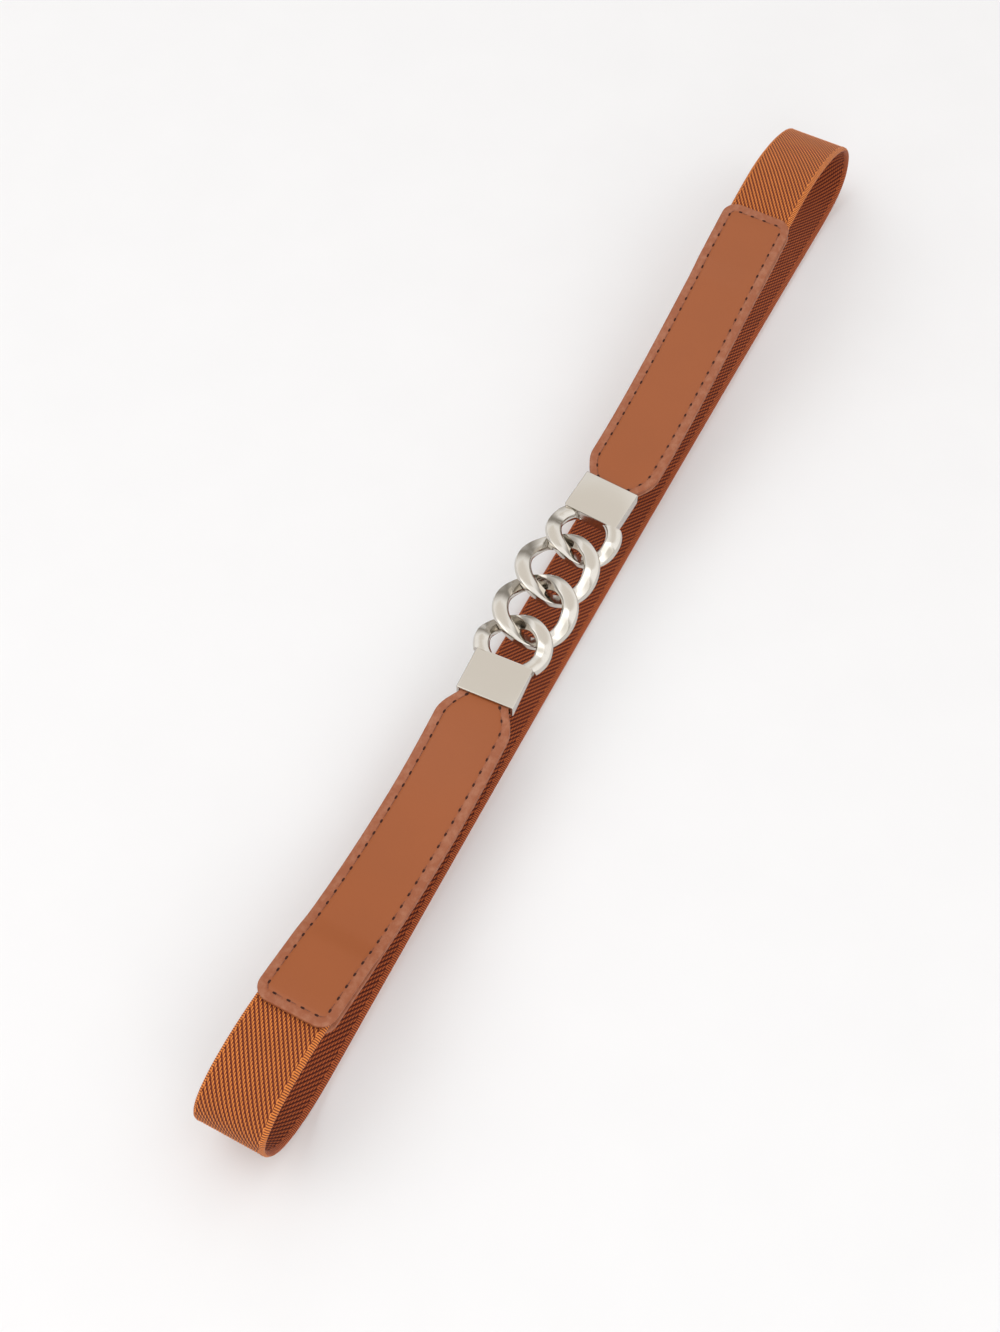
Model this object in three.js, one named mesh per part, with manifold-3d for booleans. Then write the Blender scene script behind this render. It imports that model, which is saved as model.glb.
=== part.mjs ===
// An elastic waist belt with a metal chain clasp, fastened and lying on its side as a low loop.
// Millimetres, +Z up. X runs along the belt, Y across its width.
// The elastic's underside lies on z = 0, and the origin is the middle of the loop's footprint.
import * as THREE from "three";
import { mergeVertices } from "three/addons/utils/BufferGeometryUtils.js";
import Module from "manifold-3d";

const wasm = await Module();
wasm.setup();

// Clearance between pieces that touch on the real belt
const gap = 0.3;

// Elastic webbing
const elasticWidth = 20;
const elasticThickness = 1.5;
const elasticTuck = 20;

// Leather tabs, each of a front and a back ply
const tabWidth = 22;
const tabLength = 104;
const plyThickness = 1.2;
const taperLength = 8.5;
const tabCornerRadius = 4.5;
const plyEdgeRound = 0.35;
const plyBlend = 8;

// Metal end caps
const capLength = 13.8;
const capWidth = 17.2;
const capWall = 0.55;
const capSideWall = 0.9;
const capEndWall = 3;
const capEdgeRound = 0.4;
const pocketRound = 0.2;
const solderDepth = 0.4;
const capThickness = 2 * plyThickness + 3 * gap + 2 * capWall;
const tongueWidth = capWidth - 2 * capSideWall - 2 * gap;

// Chain of two links between the half links on the caps
const linkLength = 24.6;
const linkWidth = 24.6;
const linkSlack = 1.3;
const halfLinkWidth = 22.8;
const halfLinkReach = 15.7;
const halfLinkStandOff = 5.2;
const halfLinkSlack = 0.6;
const halfLinkRootRise = 0.2;
const wireWidth = 4.9;
const wireEndWidth = 4.2;
const wireThickness = 4.2;
const wireFlatShare = 0.45;
const wireCrossGap = 0.9;
const chainThickness = 6;
const linkPitch = linkLength - 2 * wireEndWidth - linkSlack;
const linkRise = (wireThickness + wireCrossGap) / 2;
const halfLinkTip = (linkPitch + linkLength) / 2 - 2 * wireEndWidth - halfLinkSlack;
const chainGap = 2 * (halfLinkTip + halfLinkReach);

// How the loop lies: its ends and heights
const leftReach = 172;
const rightReach = 203.4;
const chainHeight = 22;
const leftCrest = 32.8;
const rightCrest = 41;
const claspAside = 2.5;
const claspAsideSpan = 36;
const topAside = -0.2;
const floorAside = 0.4;
const floorBow = 1.3;

// Play in the chain: how far each free link lies along and to one side of its place, and
// how far to one side the half link is soldered on its cap
const claspPlay = {
  left: { along: -0.4, aside: 1.4, rootAside: 0 },
  right: { along: -0.1, aside: 2.1, rootAside: -1 },
};

// Fineness of the facets
const stepsPerBend = 16;
const stepsPerFlat = 8;
const wireSteps = 16;
const shortestStep = 1;

const flatHalf = chainGap / 2 + capLength;
const floorLine = elasticThickness / 2;

// Side view of the belt's middle line, from the right cap's mouth round the right end, along
// the surface, round the left end and back. x and z are shares of a named reach and height,
// heading is the way the line runs in degrees, pull is the share of the chord that bends it.
const knots = [
  { x: flatHalf, z: chainHeight, heading: 2, pullIn: 0.33, pullOut: 0.43 },
  { x: 0.776 * rightReach, z: rightCrest, heading: 0, pullIn: 0.2, pullOut: 0.31 },
  { x: rightReach, z: 0.28 * rightCrest, heading: -90, pullIn: 0.29, pullOut: 0.39 },
  { x: 0.874 * rightReach, z: floorLine, heading: -180, pullIn: 0.46, pullOut: 0.33 },
  { x: -0.834 * leftReach, z: floorLine, heading: -180, pullIn: 0.33, pullOut: 0.39 },
  { x: -leftReach, z: 0.67 * leftCrest, heading: -270, pullIn: 0.45, pullOut: 0.43 },
  { x: -0.896 * leftReach, z: leftCrest, heading: -360, pullIn: 0.37, pullOut: 0.27 },
  { x: -0.447 * leftReach, z: 0.875 * chainHeight, heading: -361, pullIn: 0.51, pullOut: 0.42 },
  { x: -flatHalf, z: chainHeight, heading: -359, pullIn: 0.36, pullOut: 0.33 },
];

function spinePiece(from, to) {
  const a = new THREE.Vector3(from.x, 0, from.z);
  const b = new THREE.Vector3(to.x, 0, to.z);
  const chord = a.distanceTo(b);
  const way = (knot) => {
    const angle = THREE.MathUtils.degToRad(knot.heading);
    return new THREE.Vector3(Math.cos(angle), 0, Math.sin(angle));
  };
  const leave = a.clone().addScaledVector(way(from), from.pullOut * chord);
  const arrive = b.clone().addScaledVector(way(to), -to.pullIn * chord);
  return new THREE.CubicBezierCurve3(a, leave, arrive, b);
}

const middle = { x: 0, z: chainHeight, heading: 0, pullIn: 0.33, pullOut: 0.33 };
const stops = [middle, ...knots, middle];
const pieces = stops.slice(1).map((knot, i) => spinePiece(stops[i], knot));
const pieceLengths = pieces.map((piece) => piece.getLength());
const beltLength = pieceLengths.reduce((sum, length) => sum + length, 0);

// A point beside the belt's middle line: along it from the chain's middle (minus is the
// left side), across its width, and lifted outwards from it.
function place(along, across, lift) {
  let rest = THREE.MathUtils.euclideanModulo(along, beltLength);
  let index = 0;
  while (index < pieces.length - 1 && rest > pieceLengths[index]) {
    rest -= pieceLengths[index];
    index += 1;
  }
  const share = Math.min(rest / pieceLengths[index], 1);
  const point = pieces[index].getPointAt(share);
  const way = pieces[index].getTangentAt(share);
  const turn = swayTurn(point.x, point.z);
  const aside = sway(point.x, point.z);
  const x = point.x - way.z * lift - across * Math.sin(turn);
  const y = aside + across * Math.cos(turn);
  return new THREE.Vector3(x, y, point.z + way.x * lift);
}

// The belt doesn't lie quite straight: seen from above, the clasp is pushed to one side
// between straight tabs, and the run on the surface curves a little.
function sway(x, z) {
  const top = topAside + claspAside * Math.exp(-((x / claspAsideSpan) ** 2));
  const floor = floorAside - floorBow * (x / rightReach) ** 2;
  const rise = THREE.MathUtils.clamp((z - floorLine) / (chainHeight - floorLine), 0, 1);
  return THREE.MathUtils.lerp(floor, top, THREE.MathUtils.smoothstep(rise, 0, 1));
}

function swayTurn(x, z) {
  const reach = 0.5;
  return Math.atan2(sway(x + reach, z) - sway(x - reach, z), 2 * reach);
}

// A solid skinned over a row of sections with as many points each. A ring joins its last
// section to its first, and an open row is closed by a flat fan at each end.
function skin(sections, ring = false) {
  const count = sections[0].length;
  const positions = sections.flat().flatMap((p) => [p.x, p.y, p.z]);
  const faces = [];
  const last = ring ? sections.length : sections.length - 1;
  for (let i = 0; i < last; i += 1) {
    const next = (i + 1) % sections.length;
    for (let j = 0; j < count; j += 1) {
      const side = (j + 1) % count;
      const a = i * count + j;
      const b = i * count + side;
      const c = next * count + side;
      const d = next * count + j;
      faces.push(a, b, c, a, c, d);
    }
  }
  if (!ring) {
    const end = (sections.length - 1) * count;
    for (let j = 1; j < count - 1; j += 1) {
      faces.push(0, j + 1, j, end, end + j, end + j + 1);
    }
  }
  const geometry = new THREE.BufferGeometry();
  geometry.setAttribute("position", new THREE.Float32BufferAttribute(positions, 3));
  geometry.setIndex(faces);
  return faceOutwards(geometry);
}

function faceOutwards(geometry) {
  const solid = toSolid(geometry);
  if (solid.volume() > 0) return geometry;
  const index = geometry.getIndex();
  for (let i = 0; i < index.count; i += 3) {
    const kept = index.getX(i + 1);
    index.setX(i + 1, index.getX(i + 2));
    index.setX(i + 2, kept);
  }
  return geometry;
}

function toSolid(geometry) {
  const bare = geometry.clone();
  bare.deleteAttribute("normal");
  bare.deleteAttribute("uv");
  const merged = mergeVertices(bare, 1e-4);
  const vertProperties = new Float32Array(merged.attributes.position.array);
  const triVerts = new Uint32Array(merged.index.array);
  return new wasm.Manifold(new wasm.Mesh({ numProp: 3, vertProperties, triVerts }));
}

function toGeometry(solid) {
  const mesh = solid.getMesh();
  const geometry = new THREE.BufferGeometry();
  const points = new THREE.BufferAttribute(new Float32Array(mesh.vertProperties), 3);
  geometry.setAttribute("position", points);
  geometry.setIndex(new THREE.BufferAttribute(new Uint32Array(mesh.triVerts), 1));
  geometry.computeVertexNormals();
  return geometry;
}

// A strap's cross-section at one place: a flat bar with its four edges taken off.
function barSection(along, halfWidth, low, high, round) {
  const corners = [
    [halfWidth - round, low],
    [halfWidth, low + round],
    [halfWidth, high - round],
    [halfWidth - round, high],
    [round - halfWidth, high],
    [-halfWidth, high - round],
    [-halfWidth, low + round],
    [round - halfWidth, low],
  ];
  return corners.map(([across, lift]) => place(along, across, lift));
}

function elasticBand() {
  const end = flatHalf + tabLength - elasticTuck;
  const stations = [end];
  let start = 0;
  pieces.forEach((piece, i) => {
    const flat = Math.abs(piece.v0.z - piece.v3.z) < 1e-6;
    const steps = flat ? stepsPerFlat : stepsPerBend;
    for (let k = 1; k <= steps; k += 1) {
      const along = start + (pieceLengths[i] * k) / steps;
      const clear = Math.min(along - end, beltLength - end - along) > shortestStep;
      if (clear) stations.push(along);
    }
    start += pieceLengths[i];
  });
  stations.push(beltLength - end);
  const half = elasticThickness / 2;
  return skin(stations.map((s) => barSection(s, elasticWidth / 2, -half, half, 0.4 * half)));
}

// Half the tab's width at a distance from the cap's mouth
function tabHalfWidth(distance) {
  const wide = tabWidth / 2;
  const narrow = tongueWidth / 2;
  if (distance <= gap) return narrow;
  if (distance < taperLength) {
    const share = (distance - gap) / (taperLength - gap);
    return narrow + (wide - narrow) * Math.sin((share * Math.PI) / 2);
  }
  const fromEnd = tabLength - distance;
  if (fromEnd >= tabCornerRadius) return wide;
  const inset = tabCornerRadius - fromEnd;
  return wide - tabCornerRadius + Math.sqrt(tabCornerRadius ** 2 - inset ** 2);
}

// How far the plies stand off the middle line: nearly closed, and spread over the elastic
function plyStandOff(distance) {
  const closed = gap / 2;
  const spread = elasticThickness / 2 + gap;
  const start = tabLength - elasticTuck - gap - plyBlend;
  const share = THREE.MathUtils.smoothstep(distance, start, start + plyBlend);
  return THREE.MathUtils.lerp(closed, spread, share);
}

function tabStations() {
  const tongue = capLength - capEndWall - gap;
  const stations = [-tongue, 0, gap];
  const taperSteps = 5;
  for (let k = 1; k <= taperSteps; k += 1) {
    stations.push(gap + ((taperLength - gap) * k) / taperSteps);
  }
  const body = tabLength - tabCornerRadius;
  const bodySteps = 26;
  for (let k = 1; k <= bodySteps; k += 1) {
    stations.push(taperLength + ((body - taperLength) * k) / bodySteps);
  }
  const cornerSteps = 5;
  for (let k = 1; k <= cornerSteps; k += 1) {
    const turn = (Math.PI / 2) * (k / cornerSteps);
    stations.push(body + tabCornerRadius * Math.sin(turn));
  }
  return stations;
}

// One leather ply. side is 1 on the right and -1 on the left, face is 1 in front, -1 behind.
function tabPly(side, face) {
  const sections = tabStations().map((distance) => {
    const near = plyStandOff(distance) * face;
    const far = near + plyThickness * face;
    const [low, high] = face > 0 ? [near, far] : [far, near];
    const along = side * (flatHalf + distance);
    return barSection(along, tabHalfWidth(distance), low, high, plyEdgeRound);
  });
  return skin(sections);
}

// Corners of the wire's six-sided section: flat above and below, with a crease at each side.
const wireCorners = [
  { out: 1, up: 0 },
  { out: wireFlatShare, up: 1 },
  { out: -wireFlatShare, up: 1 },
  { out: -1, up: 0 },
  { out: -wireFlatShare, up: -1 },
  { out: wireFlatShare, up: -1 },
];

// A link about the origin. Its wire rises and falls twice on the way round, so that its
// neighbours pass over and under it, and it is ground level above and below. rootSide is
// the side where a half link comes down to its cap, or 0 for a whole link.
function curbLink(outerLength, outerWidth, rootSide = 0) {
  const halfLength = (outerLength - wireEndWidth) / 2;
  const halfWidth = (outerWidth - wireWidth) / 2;
  const limit = chainThickness / 2;
  const sections = [];
  for (let i = 0; i < wireSteps; i += 1) {
    const turn = (2 * Math.PI * i) / wireSteps;
    const out = new THREE.Vector2(halfWidth * Math.cos(turn), halfLength * Math.sin(turn));
    out.normalize();
    const wide = THREE.MathUtils.lerp(wireEndWidth, wireWidth, Math.sin(turn) ** 2);
    const reach = Math.cos(turn) * rootSide > 0 ? halfLinkRootRise : 1;
    const rise = -linkRise * reach * Math.sin(2 * turn);
    const section = wireCorners.map((corner) => {
      const x = halfLength * Math.cos(turn) + (out.x * corner.out * wide) / 2;
      const y = halfWidth * Math.sin(turn) + (out.y * corner.out * wide) / 2;
      const z = rise + (corner.up * wireThickness) / 2;
      return new THREE.Vector3(x, y, THREE.MathUtils.clamp(z, -limit, limit));
    });
    sections.push(section);
  }
  return skin(sections, true);
}

function freeLink(side, { along, aside }) {
  const link = curbLink(linkLength, linkWidth);
  return link.translate((side * linkPitch) / 2 + along, aside, chainHeight);
}

// A box about the x axis with its four long edges taken off, between two places along it
function boxAlong(oneX, otherX, width, height, round) {
  const half = width / 2;
  const rise = height / 2;
  const shape = new THREE.Shape();
  shape.moveTo(half - round, -rise);
  shape.lineTo(half, round - rise);
  shape.lineTo(half, rise - round);
  shape.lineTo(half - round, rise);
  shape.lineTo(round - half, rise);
  shape.lineTo(-half, rise - round);
  shape.lineTo(-half, round - rise);
  shape.lineTo(round - half, -rise);
  shape.closePath();
  const depth = Math.abs(otherX - oneX);
  const geometry = new THREE.ExtrudeGeometry(shape, { depth, bevelEnabled: false });
  geometry.rotateX(Math.PI / 2);
  geometry.rotateZ(Math.PI / 2);
  return geometry.translate(Math.min(oneX, otherX), 0, 0);
}

// The folded cap that grips the tab, soldered to the half link that starts the chain. It is
// made about its own middle, then turned and moved to its place on the belt's line.
function capWithHalfLink(side, { rootAside }) {
  const mouth = (side * capLength) / 2;
  const face = -mouth;
  const shell = boxAlong(face, mouth, capWidth, capThickness, capEdgeRound);
  const pocketFloor = face + side * capEndWall;
  const pocketHeight = capThickness - 2 * capWall;
  const pocketWidth = capWidth - 2 * capSideWall;
  const pocket = boxAlong(pocketFloor, mouth + side, pocketWidth, pocketHeight, pocketRound);
  const ring = curbLink(2 * (halfLinkReach - halfLinkStandOff), halfLinkWidth, side);
  ring.translate(face - side * halfLinkStandOff, rootAside, 0);
  const solderLine = face + side * solderDepth;
  const beyond = boxAlong(solderLine, 2 * side * capLength, 2 * linkWidth, 2 * linkWidth, pocketRound);
  const halfLink = toSolid(ring).subtract(toSolid(beyond));
  const cap = toGeometry(toSolid(shell).subtract(toSolid(pocket)).add(halfLink));
  const middleX = side * (flatHalf - capLength / 2);
  cap.rotateZ(swayTurn(middleX, chainHeight));
  return cap.translate(middleX, sway(middleX, chainHeight), chainHeight);
}

const elasticMaterial = new THREE.MeshStandardMaterial({ color: 0xb5642a, roughness: 0.95 });
const leatherMaterial = new THREE.MeshStandardMaterial({ color: 0xa5623f, roughness: 0.55 });
const metalMaterial = new THREE.MeshStandardMaterial({
  color: 0xd6d2ca,
  roughness: 0.18,
  metalness: 1,
});

const belt = new THREE.Group();

function add(name, geometry, material) {
  geometry.computeVertexNormals();
  const mesh = new THREE.Mesh(geometry, material);
  mesh.name = name;
  belt.add(mesh);
}

add("elastic_band", elasticBand(), elasticMaterial);
for (const [word, side] of [["left", -1], ["right", 1]]) {
  add(`tab_front_${word}`, tabPly(side, 1), leatherMaterial);
  add(`tab_back_${word}`, tabPly(side, -1), leatherMaterial);
  add(`end_cap_${word}`, capWithHalfLink(side, claspPlay[word]), metalMaterial);
  add(`chain_link_${word}`, freeLink(side, claspPlay[word]), metalMaterial);
}

// The origin is the middle of the footprint, on the surface that the belt lies on.
const bounds = new THREE.Box3().setFromObject(belt);
const centre = bounds.getCenter(new THREE.Vector3());
belt.position.set(-centre.x, -centre.y, -bounds.min.z);

export default belt;
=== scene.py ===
"""Looks of an elastic waist belt with leather tabs and a metal chain clasp.

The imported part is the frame. Each CAD node is replaced by a finer piece in the same place, and
the stitches are added. Everything is in metres, in the part's own frame.
"""

import math

import bmesh
import bpy
import numpy as np
from mathutils import Matrix, Vector


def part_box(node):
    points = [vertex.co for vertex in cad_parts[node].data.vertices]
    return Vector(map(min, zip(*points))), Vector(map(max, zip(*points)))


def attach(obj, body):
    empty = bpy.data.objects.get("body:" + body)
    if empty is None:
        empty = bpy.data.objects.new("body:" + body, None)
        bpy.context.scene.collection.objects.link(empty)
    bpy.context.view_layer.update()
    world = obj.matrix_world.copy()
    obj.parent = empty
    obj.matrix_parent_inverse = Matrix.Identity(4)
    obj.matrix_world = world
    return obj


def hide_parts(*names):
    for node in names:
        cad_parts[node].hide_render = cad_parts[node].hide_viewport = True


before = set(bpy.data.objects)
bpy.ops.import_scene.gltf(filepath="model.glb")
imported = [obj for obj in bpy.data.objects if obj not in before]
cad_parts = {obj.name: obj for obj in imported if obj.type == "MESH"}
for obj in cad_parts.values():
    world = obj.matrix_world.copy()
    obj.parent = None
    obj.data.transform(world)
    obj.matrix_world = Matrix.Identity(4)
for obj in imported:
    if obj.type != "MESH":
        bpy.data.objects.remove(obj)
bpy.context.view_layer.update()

bl_info = {
    "name": "Elastic waist belt",
    "version": (1, 0, 0),
    "blender": (4, 5, 0),
    "location": "3D View > Sidebar > Belt",
    "description": "Builds an elastic belt with leather tabs and a chain clasp round its CAD frame",
    "category": "Object",
}

MM = 0.001
SIDES = {"left": -1, "right": 1}
FACES = {"front": 1, "back": -1}


# Settings, whose sizes are the same as in the part's source


class BeltSizes(bpy.types.PropertyGroup):
    """Sizes that the whole belt shares"""

    left_reach: bpy.props.FloatProperty(
        name="Left reach", description="From the chain's middle to the left end",
        default=172 * MM, unit="LENGTH")
    right_reach: bpy.props.FloatProperty(
        name="Right reach", description="From the chain's middle to the right end",
        default=203.4 * MM, unit="LENGTH")
    chain_height: bpy.props.FloatProperty(
        name="Chain height", description="Height of the chain's middle over the surface",
        default=22 * MM, unit="LENGTH")
    left_crest: bpy.props.FloatProperty(
        name="Left crest", description="Height of the belt's middle line near the left end",
        default=32.8 * MM, unit="LENGTH")
    right_crest: bpy.props.FloatProperty(
        name="Right crest", description="Height of the belt's middle line near the right end",
        default=41 * MM, unit="LENGTH")
    clearance: bpy.props.FloatProperty(
        name="Clearance", description="Room between pieces that touch on the real belt",
        default=0.3 * MM, unit="LENGTH")


class ElasticSettings(bpy.types.PropertyGroup):
    """Woven elastic webbing"""

    width: bpy.props.FloatProperty(
        name="Width", description="Width of the webbing", default=20 * MM, unit="LENGTH")
    thickness: bpy.props.FloatProperty(
        name="Thickness", description="Thickness of the webbing", default=1.5 * MM, unit="LENGTH")
    tuck: bpy.props.FloatProperty(
        name="Tuck", description="How far the webbing reaches between the tab's plies",
        default=20 * MM, unit="LENGTH")
    row_pitch: bpy.props.FloatProperty(
        name="Row pitch", description="Distance between twill rows, measured across the belt",
        default=1.31 * MM, unit="LENGTH")
    row_angle: bpy.props.FloatProperty(
        name="Row angle", description="Angle between the twill rows and the belt",
        default=math.radians(36), subtype="ANGLE")
    knuckle: bpy.props.FloatProperty(
        name="Knuckle", description="Length of one woven knuckle along its row",
        default=0.97 * MM, unit="LENGTH")
    relief: bpy.props.FloatProperty(
        name="Relief", description="Depth of the gaps between rows", default=0.26 * MM, unit="LENGTH")
    selvedge: bpy.props.FloatProperty(
        name="Selvedge", description="Width of the ribbed selvedge", default=1.5 * MM, unit="LENGTH")
    far_selvedge: bpy.props.FloatProperty(
        name="Far selvedge", description="Width of the selvedge at the belt's other edge",
        default=0.8 * MM, unit="LENGTH")
    crest_colour: bpy.props.StringProperty(
        name="Crest colour", description="Yarn on the raised knuckles outside, as sRGB hex",
        default="F48F3E")
    # Painted shade: the colour that the gaps between the knuckles take, darker than the yarn
    gap_shade_colour: bpy.props.StringProperty(
        name="Gap colour", description="Yarn in the gaps outside, as sRGB hex", default="641E06")
    # Painted shade: the inner face takes the yarn's colours darkened, for the inside of the loop that
    # lies under the belt
    inner_crest_shade_colour: bpy.props.StringProperty(
        name="Inner crest colour", description="Yarn on the raised knuckles inside, as sRGB hex",
        default="CE672F")
    inner_gap_shade_colour: bpy.props.StringProperty(
        name="Inner gap colour", description="Yarn in the gaps inside, as sRGB hex",
        default="521604")


class LeatherSettings(bpy.types.PropertyGroup):
    """Leather tabs and their stitching"""

    width: bpy.props.FloatProperty(
        name="Width", description="Width of a tab", default=22 * MM, unit="LENGTH")
    length: bpy.props.FloatProperty(
        name="Length", description="Length of a tab past its cap", default=104 * MM, unit="LENGTH")
    thickness: bpy.props.FloatProperty(
        name="Ply thickness", description="Thickness of one ply", default=1.2 * MM, unit="LENGTH")
    edge_round: bpy.props.FloatProperty(
        name="Edge round", description="Radius of a ply's edge", default=0.35 * MM, unit="LENGTH")
    corner: bpy.props.FloatProperty(
        name="Corner", description="Radius of the corners at a tab's outer end",
        default=4.5 * MM, unit="LENGTH")
    taper: bpy.props.FloatProperty(
        name="Taper", description="Length over which a tab widens from its cap",
        default=8.5 * MM, unit="LENGTH")
    blend: bpy.props.FloatProperty(
        name="Blend", description="Length over which the plies part to take the elastic",
        default=8 * MM, unit="LENGTH")
    crown: bpy.props.FloatProperty(
        name="Crown", description="How far a ply swells between its stitch lines",
        default=0.22 * MM, unit="LENGTH")
    stitch_inset: bpy.props.FloatProperty(
        name="Stitch inset", description="From a tab's edge to its stitch line",
        default=2.6 * MM, unit="LENGTH")
    stitch_pitch: bpy.props.FloatProperty(
        name="Stitch pitch", description="Distance between needle holes",
        default=3.9 * MM, unit="LENGTH")
    thread: bpy.props.FloatProperty(
        name="Thread", description="Thickness of the thread", default=0.26 * MM, unit="LENGTH")
    stitch_dip: bpy.props.FloatProperty(
        name="Stitch dip", description="How deep a stitch's ends dip, and how high it bows",
        default=0.22 * MM, unit="LENGTH")
    hole_length: bpy.props.FloatProperty(
        name="Hole length", description="Length of a needle hole", default=1.35 * MM, unit="LENGTH")
    hole_width: bpy.props.FloatProperty(
        name="Hole width", description="Width of a needle hole", default=0.95 * MM, unit="LENGTH")
    hole_height: bpy.props.FloatProperty(
        name="Hole height", description="Thickness of the flat oval that stands for a needle hole",
        default=0.26 * MM, unit="LENGTH")
    groove: bpy.props.FloatProperty(
        name="Groove", description="How deep the stitches pull into the leather",
        default=0.2 * MM, unit="LENGTH")
    colour: bpy.props.StringProperty(
        name="Colour", description="Leather between the stitch lines, as sRGB hex", default="A05423")
    border_colour: bpy.props.StringProperty(
        name="Border colour", description="Leather outside the stitches, as sRGB hex",
        default="9A5532")
    rubbed_colour: bpy.props.StringProperty(
        name="Rubbed colour", description="Paler rubbed patches of the border, as sRGB hex",
        default="A7694A")
    thread_colour: bpy.props.StringProperty(
        name="Thread colour", description="Sewing thread, as sRGB hex", default="84462A")
    # Painted shade: the hole colour stands for the shaded inside of a needle hole
    hole_shade_colour: bpy.props.StringProperty(
        name="Hole colour", description="Inside of a needle hole, as sRGB hex", default="2A0E04")


class MetalSettings(bpy.types.PropertyGroup):
    """Plated end caps and chain"""

    cap_length: bpy.props.FloatProperty(
        name="Cap length", description="Length of an end cap", default=13.8 * MM, unit="LENGTH")
    cap_width: bpy.props.FloatProperty(
        name="Cap width", description="Width of an end cap", default=17.2 * MM, unit="LENGTH")
    cap_wall: bpy.props.FloatProperty(
        name="Cap wall", description="Sheet thickness of a cap", default=0.55 * MM, unit="LENGTH")
    cap_side_wall: bpy.props.FloatProperty(
        name="Cap side wall", description="Thickness of a cap's sides", default=0.9 * MM,
        unit="LENGTH")
    cap_end_wall: bpy.props.FloatProperty(
        name="Cap end wall", description="Thickness of a cap's chain end", default=3 * MM,
        unit="LENGTH")
    cap_bevel: bpy.props.FloatProperty(
        name="Cap bevel", description="Bevel along a cap's edges", default=0.3 * MM, unit="LENGTH")
    cap_corner: bpy.props.FloatProperty(
        name="Cap corner", description="Radius of a cap's corners", default=0.9 * MM, unit="LENGTH")
    link_length: bpy.props.FloatProperty(
        name="Link length", description="Length of a link over its wire", default=24.6 * MM,
        unit="LENGTH")
    link_width: bpy.props.FloatProperty(
        name="Link width", description="Width of a link over its wire", default=24.6 * MM,
        unit="LENGTH")
    link_slack: bpy.props.FloatProperty(
        name="Link slack", description="Play between two links", default=1.3 * MM, unit="LENGTH")
    half_link_width: bpy.props.FloatProperty(
        name="Half link width", description="Width of a half link", default=22.8 * MM,
        unit="LENGTH")
    half_link_reach: bpy.props.FloatProperty(
        name="Half link reach", description="How far a half link stands out from its cap",
        default=15.7 * MM, unit="LENGTH")
    half_link_stand_off: bpy.props.FloatProperty(
        name="Half link stand-off", description="From a cap's face to its half link's middle",
        default=5.2 * MM, unit="LENGTH")
    half_link_slack: bpy.props.FloatProperty(
        name="Half link slack", description="Play between a half link and its neighbour",
        default=0.6 * MM, unit="LENGTH")
    wire_width: bpy.props.FloatProperty(
        name="Wire width", description="Width of a link's wire at its sides", default=4.9 * MM,
        unit="LENGTH")
    wire_end_width: bpy.props.FloatProperty(
        name="Wire end width", description="Width of a link's wire at its ends",
        default=4.2 * MM, unit="LENGTH")
    wire_thickness: bpy.props.FloatProperty(
        name="Wire thickness", description="Height of a link's wire", default=4.2 * MM,
        unit="LENGTH")
    wire_cross_gap: bpy.props.FloatProperty(
        name="Wire cross gap", description="Height between wires where links cross",
        default=0.9 * MM, unit="LENGTH")
    chain_thickness: bpy.props.FloatProperty(
        name="Chain thickness", description="Height of the chain between its ground faces",
        default=6 * MM, unit="LENGTH")
    colour: bpy.props.StringProperty(
        name="Colour", description="Nickel plating, as sRGB hex", default="CBC6BE")


class StageSettings(bpy.types.PropertyGroup):
    """Camera, lights and floor"""

    camera_place: bpy.props.FloatVectorProperty(
        name="Camera place", description="Camera, measured from the chain's middle on the floor",
        default=(-223.85 * MM, -100.6 * MM, 424.4 * MM), subtype="XYZ", unit="LENGTH")
    camera_view: bpy.props.FloatVectorProperty(
        name="Camera view", description="Way that the camera looks",
        default=(0.4258, 0.2232, -0.8768), subtype="DIRECTION")
    camera_lens: bpy.props.FloatProperty(
        name="Camera lens", description="Focal length in millimetres", default=44.7)
    floor_colour: bpy.props.StringProperty(
        name="Floor colour", description="Pale surface, as sRGB hex", default="F3F3F5")
    floor_size: bpy.props.FloatProperty(
        name="Floor size", description="Side of the floor", default=40, unit="LENGTH")


# The belt's line, as in the part's source

# Play in the chain: how far a free link lies along and beside its place, and a half link beside it
LINK_PLAY = {
    "left": {"along": -0.4 * MM, "aside": 1.4 * MM, "root_aside": 0},
    "right": {"along": -0.1 * MM, "aside": 2.1 * MM, "root_aside": -1 * MM},
}

# How far the belt lies to one side, seen from above: at the chain, and over what span that fades,
# along the rest of the top, and along the floor, where it bends back toward both ends
CHAIN_ASIDE = 2.5 * MM
CHAIN_SPAN = 36 * MM
TOP_ASIDE = -0.2 * MM
FLOOR_ASIDE = 0.4 * MM
FLOOR_BEND = 1.3 * MM


def belt_knots(belt, flat_half, floor_line):
    """Side view of the belt's middle line from the right cap's mouth round to the left one's.

    Each knot has x, z, heading in degrees, and the shares of the chord that bend the line in
    and out of it.
    """
    left, right = belt.left_reach, belt.right_reach
    chain = belt.chain_height
    return [
        (flat_half, chain, 2, 0.33, 0.43),
        (0.776 * right, belt.right_crest, 0, 0.2, 0.31),
        (right, 0.28 * belt.right_crest, -90, 0.29, 0.39),
        (0.874 * right, floor_line, -180, 0.46, 0.33),
        (-0.834 * left, floor_line, -180, 0.33, 0.39),
        (-left, 0.67 * belt.left_crest, -270, 0.45, 0.43),
        (-0.896 * left, belt.left_crest, -360, 0.37, 0.27),
        (-0.447 * left, 0.875 * chain, -361, 0.51, 0.42),
        (-flat_half, chain, -359, 0.36, 0.33),
    ]


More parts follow.
